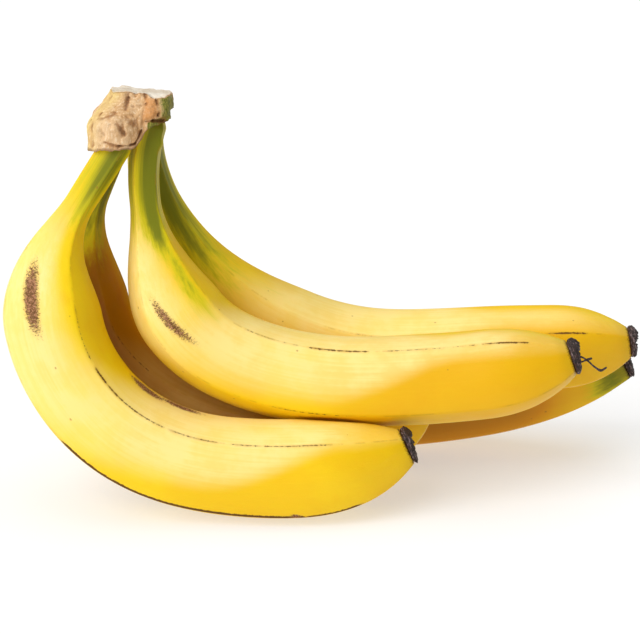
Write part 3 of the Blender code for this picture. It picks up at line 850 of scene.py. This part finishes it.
class Net:
    """The nodes of one material, added one by one around its Principled shader."""

    def __init__(self, name, colours=()):
        self.material = bpy.data.materials.new(name)
        self.material.use_nodes = True
        self.tree = self.material.node_tree
        self.shader = self.tree.nodes["Principled BSDF"]
        self.colours = {key: srgb(*seen) for key, seen in dict(colours).items()}

    def node(self, kind, *inputs, output=0, **settings):
        """Add a node, feed its first inputs in order and give back one of its outputs."""
        added = self.tree.nodes.new(kind)
        for key, value in settings.items():
            setattr(added, key, value)
        for socket, value in zip(added.inputs, inputs):
            self.feed(socket, value)
        return added.outputs[output]

    def feed(self, socket, value):
        if isinstance(value, bpy.types.NodeSocket):
            self.tree.links.new(value, socket)
        elif value is not None:
            socket.default_value = value

    def attributes(self, *names):
        return [self.attribute(name) for name in names]

    def attribute(self, name, vector=False):
        added = self.tree.nodes.new("ShaderNodeAttribute")
        added.attribute_name = name
        return added.outputs["Vector" if vector else "Fac"]

    def maths(self, operation, a, b=0.0, c=0.0):
        return self.node("ShaderNodeMath", a, b, c, operation=operation)

    def times(self, a, b):
        return self.maths("MULTIPLY", a, b)

    def plus(self, a, b):
        return self.maths("ADD", a, b)

    def ruffled(self, value, pattern, amount):
        """A value that a pattern moves up and down by up to half an amount."""
        return self.plus(value, self.times(self.plus(pattern, -0.5), amount))

    def ramp(self, value, low, high, bottom=0.0, top=1.0):
        """A smooth step of a value from bottom at low to top at high."""
        return self.node("ShaderNodeMapRange", value, low, high, bottom, top,
                         interpolation_type="SMOOTHSTEP")

    def stretched(self, vector, *factors):
        return self.node("ShaderNodeVectorMath", vector, factors, operation="MULTIPLY")

    def noise(self, vector, scale, detail=2.0, roughness=0.5, distortion=0.0):
        added = self.tree.nodes.new("ShaderNodeTexNoise")
        for key, value in (("Vector", vector), ("Scale", scale), ("Detail", detail),
                           ("Roughness", roughness), ("Distortion", distortion)):
            self.feed(added.inputs[key], value)
        return added.outputs[0]

    def cells(self, vector, scale):
        """Distance to the nearest of scattered points, and a random number for each point."""
        added = self.tree.nodes.new("ShaderNodeTexVoronoi")
        self.feed(added.inputs["Vector"], vector)
        self.feed(added.inputs["Scale"], scale)
        chance = self.node("ShaderNodeSeparateColor", added.outputs["Color"])
        return added.outputs["Distance"], chance

    def mix(self, share, a, b):
        """Colour a, painted over with b by a share. Either may be the name of a colour."""
        added = self.tree.nodes.new("ShaderNodeMix")
        added.data_type = "RGBA"
        for index, value in ((0, share), (6, a), (7, b)):
            self.feed(added.inputs[index], self.colours[value] if isinstance(value, str) else value)
        return added.outputs[2]

    def paint(self, colour, share, *steps):
        """Paint over the colour so far by a share, or by a ramp of it where steps are given."""
        share = self.ramp(share, *steps) if steps else share
        self.colour = self.mix(share, self.colour, colour)

    def finish(self, roughness, height, depth, **fixed):
        """Wire the colour, roughness and bump, and set the values that are the same all over."""
        self.feed(self.shader.inputs["Base Color"], self.colour)
        self.feed(self.shader.inputs["Roughness"], roughness)
        bump = self.tree.nodes.new("ShaderNodeBump")
        self.feed(bump.inputs["Height"], height)
        bump.inputs["Distance"].default_value = depth * MM
        bump.inputs["Strength"].default_value = 1.0
        self.feed(self.shader.inputs["Normal"], bump.outputs[0])
        return self.fixed(**fixed)

    def fixed(self, **values):
        for key, value in values.items():
            self.shader.inputs[key.replace("_", " ")].default_value = value
        return self.material


def peel_material():
    """Ripe skin: yellow with a green neck, worn ridges, freckles and scabs, under a thin wax."""
    net = Net("banana_peel", PEEL_COLOURS)
    straight = net.attribute("straight", vector=True)
    from_end, to_ridge, line, scab = net.attributes("from_end", "to_ridge", "line", "scab")
    green, pale, ripe_and_shade = net.attributes("green", "pale", "ripe_and_shade")

    broad = net.noise(straight, 0.028, 3.0, 0.5)
    patches = net.noise(straight, 0.075, 4.0, 0.6)
    streaks = net.noise(net.stretched(straight, 0.03, 1.0, 1.0), 0.8, 4.0, 0.6)
    hair_lines = net.noise(net.stretched(straight, 0.05, 1.0, 1.0), 3.2, 3.0, 0.6)
    specks = net.noise(straight, 2.6, 3.0, 0.7)

    net.colour = net.mix(net.ramp(broad, 0.35, 0.65), "yellow", "light_yellow")
    net.paint("golden", patches, 0.50, 0.75, 0.0, 0.40)
    net.paint("streak", streaks, 0.55, 0.80, 0.0, 0.30)
    net.paint("hair_line", hair_lines, 0.58, 0.80, 0.0, 0.12)
    # Golden tone, and painted shade in brown on shaded sides and where fingers press.
    net.paint("ripe_and_shade", ripe_and_shade)
    net.paint("painted_shade_brown", ripe_and_shade, 0.70, 1.90, 0.0, 0.9)
    # Painted highlight: pale cream on the upper left front of each finger's middle.
    painted_highlight = net.times(pale, net.ramp(net.ruffled(patches, streaks, 0.7), 0.30, 0.65, 0.62, 0.92))
    net.paint("painted_highlight", painted_highlight)

    # Green of the neck, deepest between the ridges and broken into streaks as it fades.
    # On its deeper side the green is partly painted shade.
    valley = net.ramp(to_ridge, 0.2, 2.6, 0.80, 1.0)
    fading = net.ramp(net.ruffled(net.times(green, valley), streaks, 0.45), 0.08, 0.90)
    net.paint("yellow_green", fading, 0.0, 0.55)
    net.paint("deep_green", fading, 0.35, 1.0, 0.0, 0.92)

    # A slight olive tint and a thin burnt rim beside the dried flower.
    ragged_end = net.ruffled(from_end, hair_lines, 3.0)
    net.paint("olive", ragged_end, 6.0, 0.8, 0.0, 0.22)
    net.paint("burnt_and_shaded_rim", ragged_end, 0.9, -0.3, 0.0, 0.92)

    # Faint rubbed lines on every ridge, and dark broken ones where it was bruised.
    gaps = net.noise(net.stretched(straight, 1.0, 0.2, 0.2), 0.16, 4.0, 0.65)
    beads = net.noise(net.stretched(straight, 1.0, 0.6, 0.6), 0.75, 3.0, 0.7)
    net.paint("rubbed", net.times(net.ramp(to_ridge, 0.55, 0.05), net.ramp(gaps, 0.48, 0.64, 0.0, 0.38)))
    line_width = net.plus(net.times(line, 0.50), net.times(net.plus(beads, -0.52), 1.5))
    dark = net.ramp(net.maths("SUBTRACT", line_width, to_ridge), 0.0, 0.28)
    dark = net.times(dark, net.ramp(line, 0.08, 0.30))
    halo = net.times(line, net.ramp(gaps, 0.35, 0.6, 0.15, 0.55))
    net.paint("bruise", net.times(net.ramp(to_ridge, 1.1, 0.1), halo))
    net.paint("dark_line", net.times(dark, net.ramp(line, 0.2, 1.0, 0.72, 0.95)))

    # Scabs: a dense fuzz of short dark strokes that thins out towards the edge.
    fuzz = net.noise(net.stretched(straight, 1.5, 0.75, 0.75), 1.25, 5.0, 0.8, 0.9)
    cover = net.times(net.ramp(net.ruffled(scab, fuzz, 2.6), 0.38, 0.62), net.ramp(scab, 0.02, 0.12))
    blotch = net.plus(net.times(specks, 0.5), net.times(net.noise(straight, 0.9, 3.0, 0.7), 0.5))
    crust = net.mix(net.ramp(blotch, 0.465, 0.595), "scab_dark", "scab_light")
    net.paint("scab_stain", scab, 0.0, 0.8, 0.0, 0.45)
    net.paint(crust, net.times(cover, 0.90))

    # Freckles: a few brown dots, on a random share of scattered points.
    dot, chance = net.cells(net.stretched(straight, 0.8, 1.0, 1.0), 0.21)
    dot_size = net.ramp(chance, 0.70, 1.0, 0.0, 0.105)
    freckles = net.times(net.ramp(net.maths("SUBTRACT", dot_size, dot), 0.0, 0.03), 0.5)
    net.paint("freckle", freckles)

    # Dull where it is scabbed, bruised or green, and faintly uneven all over.
    pores = net.noise(straight, 1.1, 4.0, 0.6)
    roughness = net.ramp(patches, 0.3, 0.7, 0.44, 0.52)
    roughness = net.plus(roughness, net.times(net.maths("MAXIMUM", cover, dark), 0.3))
    roughness = net.plus(roughness, net.times(fading, 0.14))
    height = net.plus(net.times(hair_lines, 0.35), net.times(pores, 0.45))
    height = net.plus(height, net.times(cover, net.times(specks, 2.2)))
    height = net.plus(height, net.times(dark, -0.8))
    return net.finish(roughness, height, 0.10, Specular_IOR_Level=0.26,
                      Subsurface_Weight=0.06, Subsurface_Scale=0.004)


def cork_material():
    """The crown: peach cork torn open in front, yellow on the left lobe, green at the side."""
    net = Net("crown_cork", CORK_COLOURS)
    place = net.attribute("place", vector=True)
    lobe, orange, green = net.attributes("lobe", "orange", "green")
    cavity, rim, cut, edge = net.attributes("cavity", "rim", "cut", "edge")

    clouds = net.noise(place, 0.16, 4.0, 0.6)
    grain = net.noise(net.stretched(place, 1.0, 1.0, 0.35), 1.1, 5.0, 0.7)
    crumbs = net.noise(place, 1.9, 4.0, 0.7)
    fibres = net.noise(net.stretched(place, 1.0, 1.0, 0.12), 2.6, 4.0, 0.65)

    net.colour = net.mix(net.ramp(clouds, 0.35, 0.65), "cork", "light_cork")
    net.paint("pale_grain", grain, 0.50, 0.66, 0.0, 0.75)
    net.paint("dark_grain", grain, 0.46, 0.30, 0.0, 0.70)
    net.paint("yellow_lobe", net.times(lobe, net.ramp(clouds, 0.3, 0.6, 0.35, 0.75)))
    net.paint("orange_patch", net.times(orange, net.ramp(crumbs, 0.3, 0.6, 0.50, 0.90)))
    mossy = net.mix(net.ramp(fibres, 0.40, 0.62), "moss", "light_moss")
    net.paint(mossy, net.ruffled(green, grain, 0.7), 0.25, 0.6)

    net.paint("pit", net.ruffled(cavity, crumbs, 0.5), 0.25, 0.85, 0.0, 0.70)
    net.paint("deepest_pit", net.ruffled(cavity, grain, 0.6), 0.80, 1.15, 0.0, 0.75)
    # Dark band at the lower rim: a burnt edge, and painted shade of the gap under the rim.
    net.paint("burnt_and_shaded_rim", net.ruffled(rim, grain, 0.9), 0.55, 1.0, 0.0, 0.65)

    # The knife cut: pale, dry and fibrous, with a browned edge.
    dots = net.ramp(net.noise(place, 1.5, 3.0, 0.6), 0.60, 0.74, 0.0, 0.6)
    pale = net.mix(net.ramp(clouds, 0.35, 0.65), "cut", "light_cut")
    pale = net.mix(dots, pale, "cut_dot")
    net.paint(pale, cut)
    net.paint("cut_edge", net.ruffled(edge, crumbs, 0.7), 0.40, 0.95, 0.0, 0.5)

    height = net.plus(net.times(grain, 0.8), net.times(crumbs, 0.8))
    roughness = net.ramp(green, 0.2, 0.9, 0.82, 0.60)
    return net.finish(roughness, height, 0.45, Specular_IOR_Level=0.3)


def dried_flower_material():
    """Black-brown dry tissue with dull grey and purple lights on its fibres."""
    net = Net("dried_flower", FLOWER_COLOURS)
    place, height = net.attribute("place", vector=True), net.attribute("height")
    layered = net.node("ShaderNodeCombineXYZ", net.times(height, 1.5), net.times(height, 0.7), height)
    layered = net.node("ShaderNodeVectorMath", net.stretched(place, 0.30, 0.30, 0.30), layered,
                       operation="ADD")
    fibres = net.noise(layered, 1.1, 4.0, 0.7)
    crumbs = net.noise(place, 0.9, 4.0, 0.7)
    net.colour = net.mix(net.ramp(crumbs, 0.38, 0.62), "black", "dark_brown")
    light = net.times(net.ramp(fibres, 0.50, 0.62), net.ramp(crumbs, 0.40, 0.58, 0.06, 0.72))
    net.paint("grey_light", light)
    net.paint("tip", height, 2.2, 3.4, 0.0, 0.6)
    net.paint("seam", net.ruffled(height, fibres, 1.6), 0.9, 0.1, 0.0, 0.6)
    rough_height = net.plus(net.times(fibres, 1.0), net.times(crumbs, 0.8))
    return net.finish(0.62, rough_height, 0.5, Specular_IOR_Level=0.5)


def add_light(name, source, width, strength):
    data = bpy.data.lights.new(name, "SUN")
    data.angle = math.radians(width)
    data.energy = strength
    light = put(name, data)
    light.rotation_euler = (-Vector(source)).to_track_quat("-Z", "Y").to_euler()


def add_floor():
    half = FLOOR_SIZE / 2 * MM
    data = bpy.data.meshes.new("floor")
    corners = [(-half, -half, 0), (half, -half, 0), (half, half, 0), (-half, half, 0)]
    data.from_pydata(corners, [], [(0, 1, 2, 3)])
    grey, white = (FLOOR_GREY, FLOOR_GREY, FLOOR_GREY, 1.0), (1.0, 1.0, 1.0, 1.0)
    data.materials.append(Net("floor_paper").fixed(
        Base_Color=grey, Emission_Color=white, Emission_Strength=FLOOR_GLOW,
        Roughness=0.9, Specular_IOR_Level=0.1))
    floor = put("floor", data)


def add_camera():
    data = bpy.data.cameras.new("camera")
    data.lens = LENS
    data.sensor_width = SENSOR
    data.clip_start = 0.01
    camera = put("camera", data)
    above = math.radians(CAMERA_ABOVE)
    away = Vector((0.0, -math.cos(above), math.sin(above))) * CAMERA_AWAY
    camera.location = (Vector(LOOK_AT) + away) * MM
    camera.rotation_euler = (math.radians(90.0) - above, 0.0, 0.0)
    bpy.context.scene.camera = camera


def add_world():
    world = bpy.data.worlds.new("studio")
    world.use_nodes = True
    background = world.node_tree.nodes["Background"]
    background.inputs["Color"].default_value = (1.0, 1.0, 1.0, 1.0)
    background.inputs["Strength"].default_value = WORLD_STRENGTH
    bpy.context.scene.world = world
    bpy.context.scene.view_settings.view_transform = "Standard"


add_camera()
add_world()
add_floor()
for light_name, light_values in LIGHTS.items():
    add_light(light_name, *light_values)

fingers = {name: Finger(**sizes) for name, sizes in FINGERS.items()}
peel, cork, dry = peel_material(), cork_material(), dried_flower_material()
for index, (name, finger) in enumerate(fingers.items()):
    neighbours = [other for other_name, other in fingers.items() if other_name != name]
    make_peel(name, finger, neighbours, peel, index)
    make_dried_flower(name, finger, neighbours, dry)
make_crown(cork)
